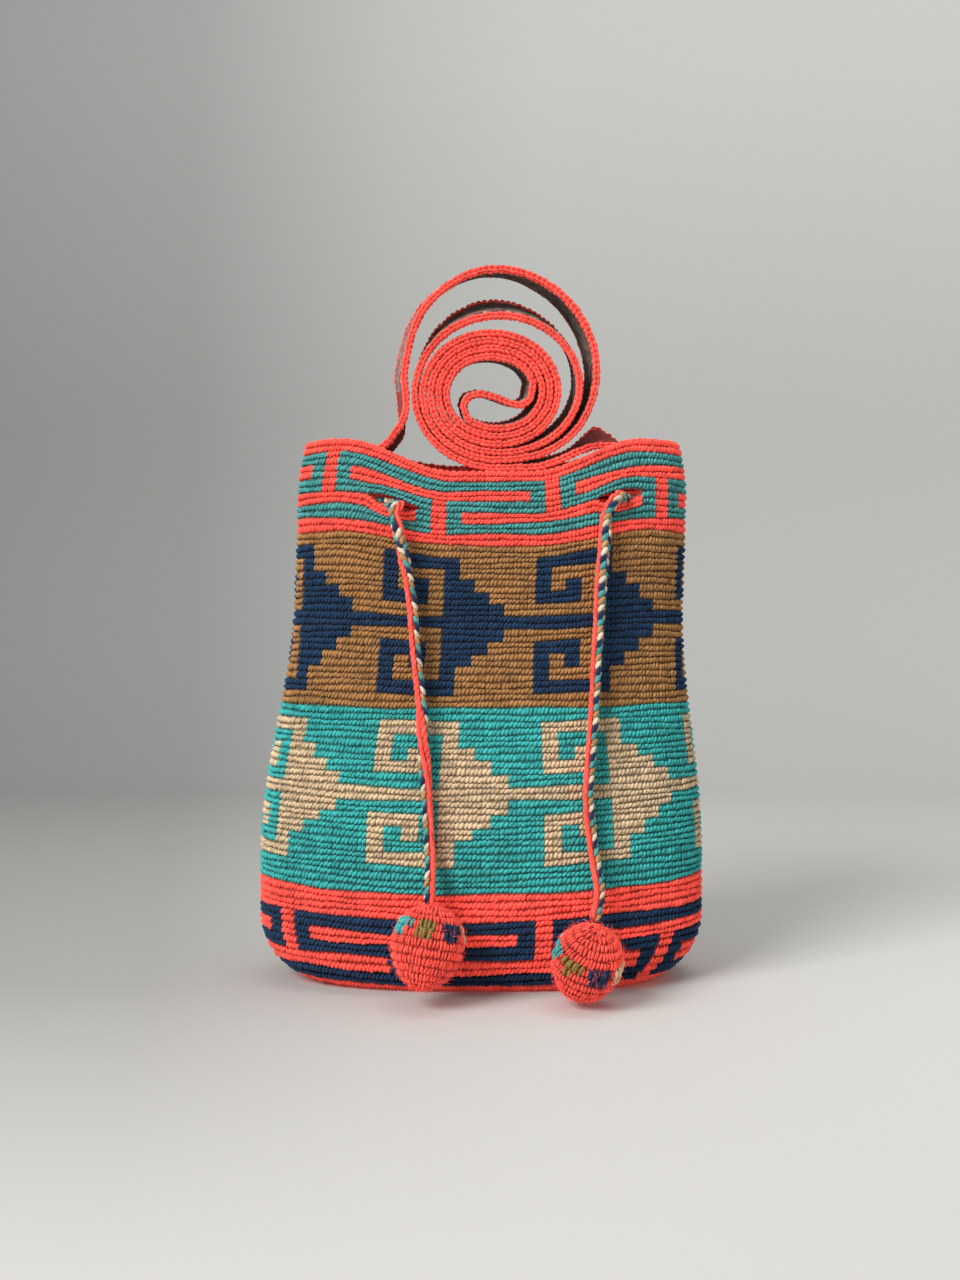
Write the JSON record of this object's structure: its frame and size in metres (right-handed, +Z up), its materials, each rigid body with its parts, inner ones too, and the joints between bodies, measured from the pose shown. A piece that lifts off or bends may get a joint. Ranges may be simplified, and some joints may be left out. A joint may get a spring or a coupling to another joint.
{
  "type": "crocheted drawstring bag",
  "caption": "Crocheted shoulder bag standing upright, with an oval base, drawstring neck, hanging tassel balls and a woven strap rolled up on its mouth.",
  "frame": {"origin": "on the ground under the middle of the bag's belly", "axes": "+Z up along the bag, +Y from the front, where the drawstring's tails hang, to the back, +X to the right as seen from the front"},
  "size_m": [0.197, 0.1167, 0.323],
  "materials": {
    "crocheted_cotton": "matte crochet",
    "woven_cotton_band": "matte weave",
    "braided_cotton_cord": "matte braid",
    "crocheted_cotton_ball": "matte crochet"
  },
  "bodies": {
    "root": {"bag_body": "crocheted_cotton", "shoulder_strap": "woven_cotton_band", "drawstring": "braided_cotton_cord", "ball_left": "crocheted_cotton_ball", "ball_right": "crocheted_cotton_ball"}
  },
  "joints": []
}
